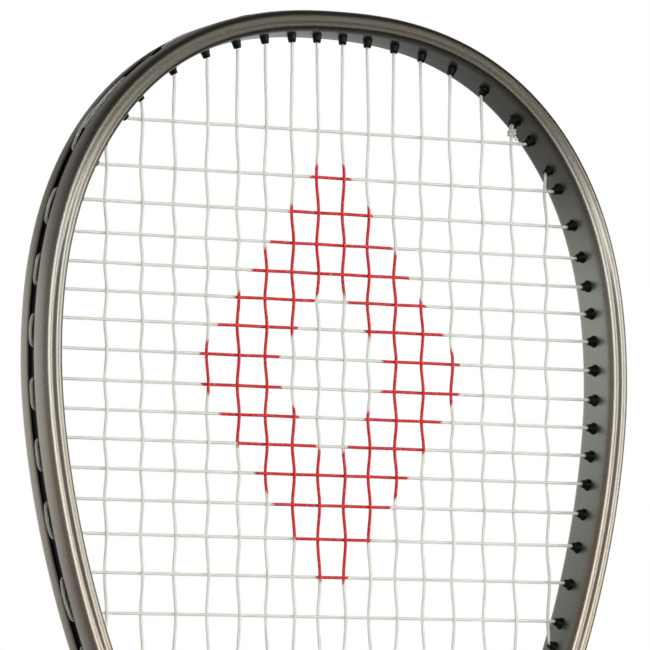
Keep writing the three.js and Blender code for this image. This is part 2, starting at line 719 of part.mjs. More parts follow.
// ---------------------------------------------------------------- dampener

// Solid of revolution about Y from a profile of radii and heights.
function spin(profile) {
  return toSolid(new THREE.LatheGeometry(profile.map(([r, y]) => v2(r, y)), ROUND_SEGMENTS));
}

function dampenerBody() {
  const { z, front, back, waist, slot, frontY, backY } = DAMPENER;
  const round = DAMPENER_ROUND;
  const rest = DAMPENER_CAP.radius + GAP;
  const seat = frontY + DAMPENER_CAP.thickness + GAP;
  return spin([
    [0, seat], [rest, seat], [rest, frontY], [front - round, frontY], [front, frontY + round],
    [front, -slot - round / 2], [front - round, -slot], [waist, -slot], [waist, slot], [back - round, slot],
    [back, slot + round / 2], [back, backY - round], [back - round, backY], [0, backY],
  ]).translate([0, 0, z]);
}

function dampenerCap() {
  const { radius, thickness, chamfer } = DAMPENER_CAP;
  const { z, frontY } = DAMPENER;
  const low = frontY + thickness;
  const profile = [
    [0, frontY], [radius - chamfer, frontY], [radius, frontY + chamfer], [radius, low], [0, low],
  ];
  return spin(profile).translate([0, 0, z]);
}

// ---------------------------------------------------------------- assembly

const FINISH = {
  bronze: { color: 0x57524a, roughness: 0.38, metalness: 0.7 },
  nylon: { color: 0x121314, roughness: 0.55, metalness: 0 },
  string: { color: 0xe4e3dc, roughness: 0.45, metalness: 0 },
  foam: { color: 0x2f3031, roughness: 0.9, metalness: 0 },
  steel: { color: 0x9a9da0, roughness: 0.35, metalness: 1 },
  wrap: { color: 0x1b1b1c, roughness: 0.8, metalness: 0 },
  rubber: { color: 0x1d1e20, roughness: 0.7, metalness: 0 },
  accent: { color: 0xb8323a, roughness: 0.6, metalness: 0 },
};

const racket = new THREE.Group();

function addPiece(name, finish, solid) {
  const piece = new THREE.Mesh(toGeometry(solid), new THREE.MeshStandardMaterial(FINISH[finish]));
  piece.name = name;
  racket.add(piece);
}

addPiece('frame', 'bronze', frame());
addPiece('throat_bridge', 'bronze', throatBridge());
addPiece('bumper_guard', 'nylon', bumperGuard());
addPiece('grommet_strip_right', 'nylon', rightStrip());
addPiece('grommet_strip_left', 'nylon', leftStrip());
addPiece('throat_grommet_strip', 'nylon', throatStrip());
addPiece('main_string', 'string', mainString());
addPiece('cross_string', 'string', crossString());
addPiece('pallet_front', 'foam', pallet(-1));
addPiece('pallet_back', 'foam', pallet(1));
addPiece('butt_cap', 'nylon', buttCap());
addPiece('trap_door', 'nylon', trapDoor());
addPiece('butt_staple_right', 'steel', stapleSolid(1, 0));
addPiece('butt_staple_left', 'steel', stapleSolid(-1, 0));
addPiece('tube_plug_right', 'foam', tubePlug(1));
addPiece('tube_plug_left', 'foam', tubePlug(-1));
addPiece('grip', 'wrap', grip());
addPiece('finishing_tape', 'wrap', finishingTape());
addPiece('collar', 'rubber', collar());
addPiece('dampener_body', 'rubber', dampenerBody());
addPiece('dampener_cap', 'accent', dampenerCap());

export default racket;
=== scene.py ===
import math

import bmesh
import bpy
import numpy as np
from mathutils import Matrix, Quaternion, Vector
from mathutils.bvhtree import BVHTree
from numpy.linalg import norm


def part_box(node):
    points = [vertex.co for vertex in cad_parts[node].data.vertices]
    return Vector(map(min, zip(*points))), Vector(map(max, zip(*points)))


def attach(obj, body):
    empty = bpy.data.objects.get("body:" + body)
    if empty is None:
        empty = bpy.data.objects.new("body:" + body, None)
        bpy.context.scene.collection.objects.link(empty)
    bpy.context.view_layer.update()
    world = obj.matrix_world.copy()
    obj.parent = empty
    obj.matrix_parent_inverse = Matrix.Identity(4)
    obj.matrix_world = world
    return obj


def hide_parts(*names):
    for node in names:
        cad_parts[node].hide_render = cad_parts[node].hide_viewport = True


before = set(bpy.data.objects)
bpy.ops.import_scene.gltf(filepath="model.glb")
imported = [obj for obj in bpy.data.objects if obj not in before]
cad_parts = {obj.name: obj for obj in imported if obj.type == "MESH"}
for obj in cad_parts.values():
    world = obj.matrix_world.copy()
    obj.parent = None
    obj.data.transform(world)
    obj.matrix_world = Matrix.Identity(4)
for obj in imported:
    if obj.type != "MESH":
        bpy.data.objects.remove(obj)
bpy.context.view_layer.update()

MM = 0.001

# ---------------- driving dimensions

# Hoop tube: channel round the outside, and two rounded ridges on the front and back faces.
OUTER_CORNER = 5.4
INNER_CORNER = 5.0
CORNER_POWER = 2.4
CORNER_POINTS = 13
CHANNEL_HALF = 3.1
CHANNEL_DEPTH = 2.4
CHANNEL_LIP = 0.8
RIDGE_MIDDLE = 1.55
RIDGE_HEIGHT = 0.3
RIDGE_POINTS = 25
GROOVE_HALF = 0.55
GROOVE_DEPTH = 0.38
GROOVE_FADE = (360, 470)
CROWN_FLATTER = 0.85
FLATTER_FROM = (550, 640)
CROWN_THINNER = 0.8
CROWN_FROM = (630, 668)
SEAT = 1.3
SEAT_HALF = 6.4
SEAT_END = 0.3
CHANNEL_FADE = 12
BRIDGE_INTO_ARM = 3
BRIDGE_WEB = 5
BRIDGE_WEB_REACH = 14
STATION_STEP = 2.2
EASE = 7

# Grommets.
STRIP_LIFT = 0.25
STRIP_THICKNESS = 0.6
STRIP_HALF = 3.04
STRIP_WALL = 0.45
STRIP_BELOW_LIP = 0.5
THROAT_STRIP_END = 6
BARREL_TIP = 3.15
TILT = 0.1
TIP_RADIUS = 1.5
BARREL_RADIUS = 1.75
BORE_RADIUS = 0.86
DRILL_RADIUS = 1.9
MAIN_FLANGE = 1.95
CROSS_FLANGE = 2.4
BRIDGE_SPAN = 60
INNER_MAIN_SPAN = 58
BARREL_RIBS = 8
TIE_SHARES = (0.34, 0.66)
SHARED_MAIN = 14
SHARED_WIDER = 0.5
SHARED_APART = 0.67

# Strings. At each crossing the two strings stand apart by one string's thickness.
STRING_RADIUS = 0.64
MAIN_WEAVE = 0.93
CROSS_WEAVE = 0.35
LOOP_DEPTH = 0.65
LOOP_LANE = 1.35
LOOP_LEAD = 2.6
LOOP_SWELL = 0.75
BEND_RADIUS = 1.7
STRING_STEP = 2.4
STRING_SIDES = 10
KNOT_TURNS = 2.25
RHOMBUS_HALF_WIDTH = 62
RHOMBUS_HALF_HEIGHT = 92
RHOMBUS_HOLE = 0.42

# Handle.
WRAP_PITCH = 27
WRAP_VALLEY = 0.42
WRAP_SWELL = 0.22
PINHOLE_ROWS = 6
PINHOLE_COLUMNS = 26
HANDLE_ANGLES = 180

# Dampener: half the width of the slot that holds the strings, and the rise of the insert's dome.
DAMPENER_SLOT = 0.95
DOME = 0.35


# ---------------- small tools

def smooth_step(value, low, high):
    t = min(max((value - low) / (high - low), 0), 1)
    return t * t * (3 - 2 * t)


def eased(s, low, high):
    """0 at both ends of a span and 1 inside it."""
    return smooth_step(min(s - low, high - s), 0, EASE)


def unit(vector):
    return vector / norm(vector)


def around(count):
    """Angles of points set evenly round a circle."""
    return np.arange(count) * 2 * math.pi / count


def in_plane(point, y=0.0):
    """The point in space of a point given in the string plane."""
    return np.array([point[0], y, point[1]])


def mirrored(side):
    """A closed section from its points on one side of the string plane."""
    return np.array(side + [(u, -v) for u, v in side][::-1])


def linked(name, data):
    """An object with the given data, in the scene."""
    item = bpy.data.objects.new(name, data)
    bpy.context.scene.collection.objects.link(item)
    return item


# ---------------- measuring the frame

def corner_points(node):
    """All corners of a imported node, in mm."""
    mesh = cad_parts[node].data
    points = np.empty(len(mesh.vertices) * 3)
    mesh.vertices.foreach_get("co", points)
    return points.reshape(-1, 3) / MM


def box(node):
    low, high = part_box(node)
    return np.array(low) / MM, np.array(high) / MM


def welded(node):
    bm = bmesh.new()
    bm.from_mesh(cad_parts[node].data)
    bmesh.ops.remove_doubles(bm, verts=bm.verts, dist=1e-6)
    return bm


def outline_chains(node, pick_ends):
    """The two long sides of the outline round a tube's front face, from one end of it to the other."""
    bm = welded(node)
    front = {f for f in bm.faces if f.normal.y < -0.97 and f.calc_center_median().y < -6 * MM}
    neighbours = {}
    for edge in bm.edges:
        if sum(f in front for f in edge.link_faces) == 1:
            a, b = edge.verts
            neighbours.setdefault(a, []).append(b)
            neighbours.setdefault(b, []).append(a)
    first, last = pick_ends(list(neighbours))
    chains = []
    for step in neighbours[first]:
        chain = [first, step]
        while chain[-1] != last:
            a, b = neighbours[chain[-1]][:2]
            chain.append(b if a == chain[-2] else a)
        chains.append(np.array([v.co for v in chain]) / MM)
    bm.free()
    return chains


def nearest_on(chain, point):
    """The point of a polyline in the string plane that is nearest to a given point."""
    a, b = chain[:-1], chain[1:]
    run = b - a
    share = np.clip(((point - a) * run).sum(1) / (run * run).sum(1), 0, 1)
    feet = a + run * share[:, None]
    return feet[np.argmin(norm(feet - point, axis=1))]


def subdivided(points, longest=30):
    """Adds points on the long straight runs, so that a spline keeps them straight."""
    out = [points[0]]
    for a, b in zip(points[:-1], points[1:]):
        count = max(1, int(norm((b - a)[:2]) // longest) + 1)
        out += [a + (b - a) * k / count for k in range(1, count + 1)]
    return np.array(out)


def spline(knots, values, at):
    """Natural cubic spline through the values at the knots."""
    h = np.diff(knots)
    slope = np.diff(values, axis=0) / h[:, None]
    count = len(knots)
    system = np.eye(count)
    right = np.zeros_like(values)
    for i in range(1, count - 1):
        system[i, i - 1:i + 2] = h[i - 1], 2 * (h[i - 1] + h[i]), h[i]
        right[i] = 6 * (slope[i] - slope[i - 1])
    bend = np.linalg.solve(system, right)
    i = np.clip(np.searchsorted(knots, at) - 1, 0, count - 2)
    t = (at - knots[i])[:, None]
    h = h[i][:, None]
    start = slope[i] - h * (2 * bend[i] + bend[i + 1]) / 6
    return values[i] + start * t + bend[i] / 2 * t ** 2 + (bend[i + 1] - bend[i]) / (6 * h) * t ** 3


class Rail:
    """A smooth line in the string plane. Rows of its table: x, z, half width, half depth."""

    def __init__(self, rows, step=0.5):
        rows = subdivided(np.asarray(rows, float))
        gaps = norm(np.diff(rows[:, :2], axis=0), axis=1)
        knots = np.concatenate([[0], np.cumsum(gaps)])
        self.s = np.arange(0, knots[-1] + step / 2, step)
        self.points = spline(knots, rows[:, :2], self.s)
        self.sizes = np.stack([np.interp(self.s, knots, rows[:, k]) for k in (2, 3)], 1)
        run = np.gradient(self.points, axis=0)
        run /= norm(run, axis=1)[:, None]
        self.normals = np.stack([run[:, 1], -run[:, 0]], 1)
        self.length = self.s[-1]

    def at(self, s):
        """Point, outward normal, half width and half depth at a length."""
        pick = lambda table: np.array([np.interp(s, self.s, column) for column in table.T])
        normal = pick(self.normals)
        width, depth = pick(self.sizes)
        return pick(self.points), unit(normal), width, depth

    def meet(self, start, way):
        """Reach and length at which a straight line first meets the rail, or None."""
        rel = self.points - start
        side = way[0] * rel[:, 1] - way[1] * rel[:, 0]
        hit = np.nonzero(side[:-1] * side[1:] < 0)[0]
        t = side[hit] / (side[hit] - side[hit + 1])
        reach = (rel[hit] + (rel[hit + 1] - rel[hit]) * t[:, None]) @ way
        ahead = np.nonzero(reach > 0)[0]
        if not len(ahead):
            return None
        best = ahead[np.argmin(reach[ahead])]
        return reach[best], self.s[hit[best]] + t[best] * (self.s[1] - self.s[0])


def hairpin_rail():
    """Centreline of the bent tube, from the right tube's end in the handle to the left one's."""
    def ends(verts):
        floor = min(v.co.z for v in verts) + MM
        low = [v for v in verts if v.co.z < floor]
        return max(low, key=lambda v: v.co.x), min(low, key=lambda v: v.co.x)

    chains = sorted(outline_chains("frame", ends), key=lambda chain: chain[:, 0].max())
    inner, outer = chains[0][1:-1][:, [0, 2]], chains[1][:, [0, 2]]
    feet = np.array([nearest_on(inner, point) for point in outer])
    flat = norm(outer - feet, axis=1) / 2
    corner = box("frame")[1][0] - outer[:, 0].max()
    return Rail(np.column_stack([(outer + feet) / 2, flat + corner, -chains[1][:, 1]])), corner


def bridge_rail(corner):
    """Centreline of the bridge, run on into both arms."""
    ends = lambda verts: (min(verts, key=lambda v: v.co.x), max(verts, key=lambda v: v.co.x))
    lower, upper = sorted(outline_chains("throat_bridge", ends), key=lambda chain: chain[:, 2].mean())
    middle = upper[np.argmin(np.abs(upper[:, 0]))]
    flat = (middle[2] - nearest_on(lower[:, [0, 2]], middle[[0, 2]])[1]) / 2
    depth = -middle[1]
    edge = Rail(np.column_stack([upper[:, [0, 2]], np.full((len(upper), 2), (flat + corner, depth))]))
    line = edge.points[::20] + edge.normals[::20] * flat
    first = line[0] + unit(line[0] - line[1]) * BRIDGE_INTO_ARM
    last = line[-1] + unit(line[-1] - line[-2]) * BRIDGE_INTO_ARM
    line = np.vstack([first, line, last])
    return Rail(np.column_stack([line, np.full((len(line), 2), (flat + corner, depth))]))


def crossings(node, axis, level, along):
    """Where a node's strings cross the plane at a level of one axis: their middles along another axis."""
    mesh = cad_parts[node].data
    points = corner_points(node)
    edges = np.array([edge.vertices[:] for edge in mesh.edges])
    a, b = points[edges[:, 0]], points[edges[:, 1]]
    cut = (a[:, axis] - level) * (b[:, axis] - level) < 0
    a, b = a[cut], b[cut]
    share = (level - a[:, axis]) / (b[:, axis] - a[:, axis])
    found = np.sort((a + (b - a) * share[:, None])[:, along])
    groups = np.split(found, np.nonzero(np.diff(found) > 3 * STRING_RADIUS)[0] + 1)
    return [(group.min() + group.max()) / 2 for group in groups]


hairpin, tube_corner = hairpin_rail()
bridge = bridge_rail(tube_corner)
frame_corners = corner_points("frame")
WIDEST_Z = frame_corners[frame_corners[:, 0] > frame_corners[:, 0].max() - 0.01][:, 2].mean()
MAINS = crossings("main_string", axis=2, level=WIDEST_Z, along=0)
CROSSES = crossings("cross_string", axis=0, level=0, along=2)[::-1]
STRIP_LOW_Z = box("grommet_strip_right")[0][2]
BUMPER_LOW = hairpin.meet(np.array([box("bumper_guard")[1][0] - 1.5, WIDEST_Z]), np.array([0, 1.0]))[1]
BUMPER_HIGH = hairpin.length - BUMPER_LOW


# ---------------- making meshes

def make_object(node, points, faces, body, material, slot=None, smooth=60):
    """An object from points in mm and faces, riding on a body. With a slot, it stands for a CAD node."""
    name = node + "_fine" if slot else node
    mesh = bpy.data.meshes.new(name)
    mesh.from_pydata((np.asarray(points) * MM).tolist(), [], faces)
    bm = bmesh.new()
    bm.from_mesh(mesh)
    bmesh.ops.recalc_face_normals(bm, faces=bm.faces)
    bm.to_mesh(mesh)
    bm.free()
    mesh.shade_smooth()
    mesh.set_sharp_from_angle(angle=math.radians(smooth))
    mesh.materials.append(material)
    piece = linked(name, mesh)
    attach(piece, body)
    if slot:
        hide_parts(node)
    return piece


def skin(rings, closed=False, start=0):
    """Points and faces of a skin over equal rings: capped at both ends, or closed on itself."""
    rings = np.asarray(rings)
    count, size, _ = rings.shape
    faces = []
    for r in range(count if closed else count - 1):
        here = start + r * size
        there = start + (r + 1) % count * size
        faces += [(here + k, here + (k + 1) % size, there + (k + 1) % size, there + k) for k in range(size)]
    if not closed:
        faces.append(tuple(range(start + size - 1, start - 1, -1)))
        faces.append(tuple(range(start + (count - 1) * size, start + count * size)))
    return rings.reshape(-1, 3), faces


def joined(parts):
    """One set of points and faces from several skins, given as rings and whether they close."""
    points, faces = np.empty((0, 3)), []
    for rings, closed in parts:
        more, quads = skin(rings, closed, start=len(points))
        points = np.vstack([points, more])
        faces += quads
    return points, faces


def station_ring(rail, s, outline):
    """A section outline, as out-of-head and across-the-plane pairs, placed on a rail."""
    point, normal, width, depth = rail.at(s)
    flat = outline(width, depth, point[1])
    x, z = point[:, None] + normal[:, None] * flat[:, 0]
    return np.column_stack([x, flat[:, 1], z])


def sweep(rail, low, high, outline, step=STATION_STEP):
    count = int(round((high - low) / step)) + 1
    return [station_ring(rail, s, outline) for s in np.linspace(low, high, count)]


def turned(origin, axis, profile, segments=20, ribs=0):
    """Closed rings of a profile, as distance and radius pairs, about an axis. ribs deepens its flutes."""
    axis = Vector(axis).normalized()
    across = axis.orthogonal().normalized()
    third = axis.cross(across)
    angles = around(segments)
    ring = np.outer(np.cos(angles), across) + np.outer(np.sin(angles), third)
    flutes = 1 + ribs * np.cos(angles * BARREL_RIBS)
    return [np.array(origin) + np.array(axis) * t + ring * (r * flutes)[:, None] for t, r in profile]


def baked(piece):
    """Makes a piece's modifiers part of its mesh."""
    mesh = bpy.data.meshes.new_from_object(piece.evaluated_get(bpy.context.evaluated_depsgraph_get()))
    piece.modifiers.clear()
    old, piece.data = piece.data, mesh
    mesh.name = piece.name
    bpy.data.meshes.remove(old)


def boolean(piece, other, operation):
    """Cuts or joins with another object, which is then removed."""
    modifier = piece.modifiers.new("boolean", "BOOLEAN")
    modifier.operation = operation
    modifier.solver = "MANIFOLD"
    modifier.object = other
    baked(piece)
    bpy.data.objects.remove(other)


# ---------------- materials

class Nodes:
    """A node tree whose nodes are made by short calls. A socket can be given wherever a value can."""

    def __init__(self, tree):
        self.tree = tree

    def feed(self, socket, value):
        if isinstance(value, bpy.types.NodeSocket):
            self.tree.links.new(value, socket)
        else:
            socket.default_value = value

    def add(self, kind, inputs=(), **settings):
        node = self.tree.nodes.new("ShaderNode" + kind)
        for key, value in settings.items():
            setattr(node, key, value)
        for key, value in dict(inputs).items():
            self.feed(node.inputs[key], value)
        return node

    def math(self, operation, *values):
        node = self.add("Math", operation=operation)
        for socket, value in zip(node.inputs, values):
            self.feed(socket, value)
        return node.outputs[0]

    def plus(self, a, b):
        return self.math("ADD", a, b)

    def minus(self, a, b):
        return self.math("SUBTRACT", a, b)

    def times(self, a, b):
        return self.math("MULTIPLY", a, b)

    def axes(self, vector):
        """The X, Y and Z of a vector."""
        return self.add("SeparateXYZ", {"Vector": vector}).outputs

    def span(self, value, low, high, to_low=0.0, to_high=1.0, smooth=False):
        kind = "SMOOTHSTEP" if smooth else "LINEAR"
        inputs = {"Value": value, "From Min": low, "From Max": high, "To Min": to_low, "To Max": to_high}
        return self.add("MapRange", inputs, interpolation_type=kind).outputs["Result"]


class Shader(Nodes):
    """A material of procedural nodes, in the object's own coordinates."""

    def __init__(self, name):
        self.material = bpy.data.materials.new(name)
        self.material.use_nodes = True
        super().__init__(self.material.node_tree)
        self.surface = self.tree.nodes["Principled BSDF"]
        self.place = self.add("TexCoord").outputs["Object"]

    def noise(self, scale, detail=3, roughness=0.5):
        inputs = {"Vector": self.place, "Scale": scale, "Detail": detail, "Roughness": roughness}
        return self.add("TexNoise", inputs).outputs["Fac"]

    def cells(self, scale):
        """A random value for each cell of a fine mosaic, as in metal flakes."""
        node = self.add("TexVoronoi", {"Vector": self.place, "Scale": scale})
        return self.add("SeparateColor", {"Color": node.outputs["Color"]}).outputs[0]

    def mix(self, share, a, b, blend="MIX"):
        node = self.add("Mix", data_type="RGBA", blend_type=blend)
        for key, value in ((0, share), (6, a), (7, b)):
            self.feed(node.inputs[key], value)
        return node.outputs[2]

    def bump(self, height, distance, strength):
        inputs = {"Height": height, "Distance": distance * MM, "Strength": strength}
        self.feed(self.surface.inputs["Normal"], self.add("Bump", inputs).outputs["Normal"])

    def finish(self, **inputs):
        for key, value in inputs.items():
            self.feed(self.surface.inputs[key.replace("_", " ")], value)
        return self.material


def tone(red, green, blue):
    return red, green, blue, 1.0


def lacquer():
    """Satin bronze with fine flakes. At a slant, inner walls turn grey-green and outer ones brown. The
    crown is painted warmer and darker, as painted shade.
    """
    shader = Shader("bronze_lacquer")
    slant = shader.add("LayerWeight", {"Blend": 0.5}).outputs["Facing"]
    shift = shader.span(slant, 0.12, 0.62, smooth=True)
    place = shader.axes(shader.place)
    normal = shader.axes(shader.add("NewGeometry").outputs["Normal"])
    up = place["Z"]
    rise = shader.times(shader.minus(up, WIDEST_Z * MM), normal["Z"])
    outward = shader.plus(shader.times(place["X"], normal["X"]), rise)
    outward = shader.span(outward, 0.0, 0.05)
    facing = shader.mix(shader.span(up, 0.45, 0.56, smooth=True), tone(0.25, 0.215, 0.175),
                        tone(0.215, 0.205, 0.175))
    slanted = shader.mix(outward, tone(0.122, 0.142, 0.11), tone(0.165, 0.145, 0.11))
    colour = shader.mix(shift, facing, slanted)
    # Painted shade: towards the crown the colour is tinted warmer and darker, and its level falls to 0.4,
    # standing for the shade on the crown.
    painted_crown_shade = shader.span(up, 0.58, 0.655, smooth=True)
    crown_shade_tint = shader.mix(painted_crown_shade, tone(1, 1, 1), tone(1.0, 0.93, 0.84))
    colour = shader.mix(1.0, colour, crown_shade_tint, blend="MULTIPLY")
    flakes = shader.cells(3200)
    grain = shader.noise(2400, detail=2)
    cloud = shader.noise(14)
    level = shader.span(flakes, 0, 1, 0.84, 1.12)
    level = shader.plus(level, shader.span(grain, 0.3, 0.7, -0.08, 0.08))
    level = shader.times(level, shader.span(cloud, 0.3, 0.7, 0.94, 1.06))
    # Painted shade of the crown: the flake and grain level falls to 0.4 there.
    level = shader.times(level, shader.span(painted_crown_shade, 0, 1, 1.0, 0.4))
    grey = shader.add("CombineColor", {0: level, 1: level, 2: level}).outputs[0]
    colour = shader.mix(1.0, colour, grey, blend="MULTIPLY")
    shader.bump(shader.plus(shader.times(flakes, 0.5), grain), 0.02, 0.12)
    rough = shader.span(grain, 0.3, 0.7, 0.32, 0.42)
    return shader.finish(Base_Color=colour, Metallic=0.88, Roughness=rough, Coat_Weight=0.25,
                         Coat_Roughness=0.22)


def nylon():
    """Moulded black nylon with a faint mould texture and paler rubbed spots."""
    shader = Shader("black_nylon")
    rub = shader.span(shader.noise(160, detail=5), 0.56, 0.74)
    colour = shader.mix(rub, tone(0.0012, 0.0015, 0.002), tone(0.004, 0.0045, 0.006))
    shader.bump(shader.noise(2600, detail=3), 0.03, 0.6)
    return shader.finish(Base_Color=colour, Roughness=shader.span(rub, 0, 1, 0.40, 0.58),
                         Specular_IOR_Level=0.2)


def string_bed():
    """Off-white multifilament string with a plain red rhombus painted on the bed."""
    shader = Shader("string")
    across, _, up = shader.axes(shader.place)
    rise = shader.minus(up, WIDEST_Z * MM)
    u = shader.math("DIVIDE", shader.math("ABSOLUTE", across), RHOMBUS_HALF_WIDTH * MM)
    v = shader.math("DIVIDE", shader.math("ABSOLUTE", rise), RHOMBUS_HALF_HEIGHT * MM)
    reach = shader.plus(shader.plus(u, v), shader.span(shader.noise(500), 0, 1, -0.012, 0.012))
    outer = shader.span(reach, 1.0, 0.985)
    inner = shader.span(reach, RHOMBUS_HOLE, RHOMBUS_HOLE + 0.015)
    ink = shader.times(outer, inner)
    wear = shader.span(shader.noise(1500, detail=4), 0.35, 0.55, 0.86, 1.0)
    ink = shader.times(ink, wear)
    strand = shader.noise(1400, detail=2)
    plain = shader.mix(strand, tone(0.84, 0.86, 0.78), tone(0.92, 0.93, 0.86))
    red = shader.mix(strand, tone(0.60, 0.010, 0.018), tone(0.72, 0.016, 0.026))
    return shader.finish(Base_Color=shader.mix(ink, plain, red), Roughness=0.6, Specular_IOR_Level=0.25,
                         Transmission_Weight=shader.span(ink, 0, 1, 0.45, 0.0), IOR=1.4,
                         Subsurface_Weight=0.7, Subsurface_Radius=(1.0, 1.0, 1.0), Subsurface_Scale=0.0012)


def wrap():
    """Black perforated grip tape: a fine leather-like grain and rows of pinholes along the winding, painted
    near black as shade in the holes.
    """
    shader = Shader("grip_wrap")
    x, y, z = shader.axes(shader.place)
    angle = shader.math("ARCTAN2", y, x)
    turns = shader.math("DIVIDE", angle, 2 * math.pi)
    width = shader.minus(shader.math("DIVIDE", z, WRAP_PITCH * MM), turns)
    row = shader.times(width, PINHOLE_ROWS)
    odd = shader.times(shader.math("MODULO", shader.math("FLOOR", row), 2.0), 0.5)
    column = shader.plus(shader.times(turns, PINHOLE_COLUMNS), odd)
    du = shader.minus(shader.math("FRACT", column), 0.5)
    dv = shader.minus(shader.math("FRACT", row), 0.5)
    away = shader.plus(shader.math("POWER", du, 2.0), shader.math("POWER", dv, 2.0))
    hole = shader.span(shader.math("SQRT", away), 0.16, 0.1)
    grain = shader.noise(900, detail=5, roughness=0.6)
    colour = shader.mix(shader.span(grain, 0.35, 0.7), tone(0.013, 0.013, 0.014), tone(0.034, 0.033, 0.033))
    # Painted shade: the pinholes are painted near black, darker than the tape, for the shade inside the
    # holes.
    colour = shader.mix(hole, colour, tone(0.003, 0.003, 0.003))
    height = shader.minus(shader.times(grain, 0.35), hole)
    shader.bump(height, 0.25, 0.8)
    return shader.finish(Base_Color=colour, Roughness=shader.span(grain, 0.3, 0.7, 0.55, 0.75))


def plain(name, dark, light, scale, rough, bump, metallic=0.0):
    """A mottled material between two tones, with a grain of the given scale."""
    shader = Shader(name)
    grain = shader.noise(scale, detail=5, roughness=0.6)
    colour = shader.mix(shader.span(grain, 0.3, 0.7), tone(*dark), tone(*light))
    shader.bump(grain, bump, 0.7)
    spread = shader.span(grain, 0.3, 0.7, rough - 0.06, rough + 0.06)
    return shader.finish(Base_Color=colour, Roughness=spread, Metallic=metallic)


LACQUER = lacquer()
NYLON = nylon()
STRING = string_bed()
WRAP = wrap()
FOAM = plain("handle_foam", (0.03, 0.03, 0.032), (0.06, 0.06, 0.062), 1500, 0.85, 0.15)
STEEL = plain("staple_wire", (0.42, 0.43, 0.44), (0.6, 0.6, 0.61), 2500, 0.32, 0.01, 1.0)
TAPE = plain("finishing_tape", (0.008, 0.008, 0.009), (0.02, 0.02, 0.021), 700, 0.3, 0.03)
COLLAR_RUBBER = plain("collar_rubber", (0.018, 0.018, 0.019), (0.035, 0.035, 0.036), 1800, 0.55, 0.05)
RUBBER = plain("dampener_rubber", (0.013, 0.014, 0.016), (0.03, 0.031, 0.034), 1600, 0.6, 0.05)
ACCENT = plain("dampener_accent", (0.42, 0.02, 0.03), (0.52, 0.03, 0.04), 1600, 0.45, 0.04)


# ---------------- hoop and bridge

def rounded_corner(reach, across, depth):
    """Points of a full corner, from the flat side to the foot of the ridges."""
    points = []
    for a in np.radians(np.linspace(0, 90, CORNER_POINTS)):
        out = max(math.cos(a), 0) ** (2 / CORNER_POWER) * reach
        up = math.sin(a) ** (2 / CORNER_POWER) * across
        points.append((RIDGE_MIDDLE + out, -depth + across - up))
    return points


def tube_outline(width, depth, channel, groove, seat=0.0, web=0.0, inside=None):
    """Section of the tube: full corners, channel in its outer side, two ridges on front and back."""
    cut = channel / CHANNEL_DEPTH
    top = width - seat
    floor = min(width - channel, top)
    lip = CHANNEL_LIP * cut
    front = [
        (floor, 0), (floor, -CHANNEL_HALF * 0.55), (floor, -CHANNEL_HALF + 0.35),
        (floor + 0.12 * cut, -CHANNEL_HALF + 0.08),
        (floor + (top - floor) * 0.5, -CHANNEL_HALF - 0.02), (top - lip * 0.45, -CHANNEL_HALF - lip * 0.1),
        (top - lip * 0.12, -CHANNEL_HALF - lip * 0.45), (top, -CHANNEL_HALF - lip),
        (top + web * 0.6, -SEAT_HALF + 0.15), (width + web * 0.9, -SEAT_HALF),
    ]
    front += rounded_corner(width + web - RIDGE_MIDDLE, OUTER_CORNER, depth)
    for u in np.linspace(RIDGE_MIDDLE, -RIDGE_MIDDLE, RIDGE_POINTS)[1:-1]:
        flank = min((RIDGE_MIDDLE - abs(u)) / (RIDGE_MIDDLE - GROOVE_HALF), 1)
        notch = max(1 - abs(u) / GROOVE_HALF, 0)
        front.append((u, -depth + groove * (RIDGE_HEIGHT * flank ** 2 + GROOVE_DEPTH * notch)))
    inside = inside or width
    inner = rounded_corner(inside - RIDGE_MIDDLE, INNER_CORNER, depth)
    front += [(-u, v) for u, v in inner[::-1]]
    front += [(-inside - 0.1, -(depth - INNER_CORNER) / 2), (-inside - 0.15, 0)]
    return np.array(front + [(u, -v) for u, v in front[1:-1]][::-1])


def inner_half(width, z):
    """Distance from the rail to the inner wall: the tube is a little thinner over the crown."""
    return width - CROWN_THINNER * smooth_step(z, *CROWN_FROM)


def channel_at(z):
    return CHANNEL_DEPTH * smooth_step(z, STRIP_LOW_Z - CHANNEL_FADE, STRIP_LOW_Z)


def hoop_section(seat):
    def outline(width, depth, z):
        ridges = smooth_step(z, *GROOVE_FADE) * (1 - CROWN_FLATTER * smooth_step(z, *FLATTER_FROM))
        return tube_outline(width, depth, channel_at(z), ridges, seat, inside=inner_half(width, z))
    return outline


def hoop_rings():
    """Rings round the whole tube, with the bumper guard's seat let into the crown."""
    plain_side, seated = hoop_section(0), hoop_section(SEAT)
    rings = sweep(hairpin, 0, BUMPER_LOW - SEAT_END, plain_side)
    rings += sweep(hairpin, BUMPER_LOW + SEAT_END, BUMPER_HIGH - SEAT_END, seated)
    return rings + sweep(hairpin, BUMPER_HIGH + SEAT_END, hairpin.length, plain_side)


def bridge_rings():
    """The bridge, widened on its lower side where it leaves each arm, which rounds the two crotches."""
    def ring(s):
        point, _, width, _ = bridge.at(s)
        distances = norm(hairpin.points - point, axis=1)
        near = np.argmin(distances)
        arm = hairpin.sizes[near, 0]
        gap = distances[near] - arm - width
        inside_arm = max(distances[near] + arm - width - 1.5, 0)
        web = min(BRIDGE_WEB * (1 - smooth_step(gap, 0, BRIDGE_WEB_REACH)), inside_arm)
        section = lambda w, d, z: tube_outline(w, d, CHANNEL_DEPTH * (1 - min(web, 1)), 0, 0, web)
        return station_ring(bridge, s, section)
    count = int(bridge.length / STATION_STEP)
    return [ring(s) for s in np.linspace(0, bridge.length, count)]


# ---------------- holes

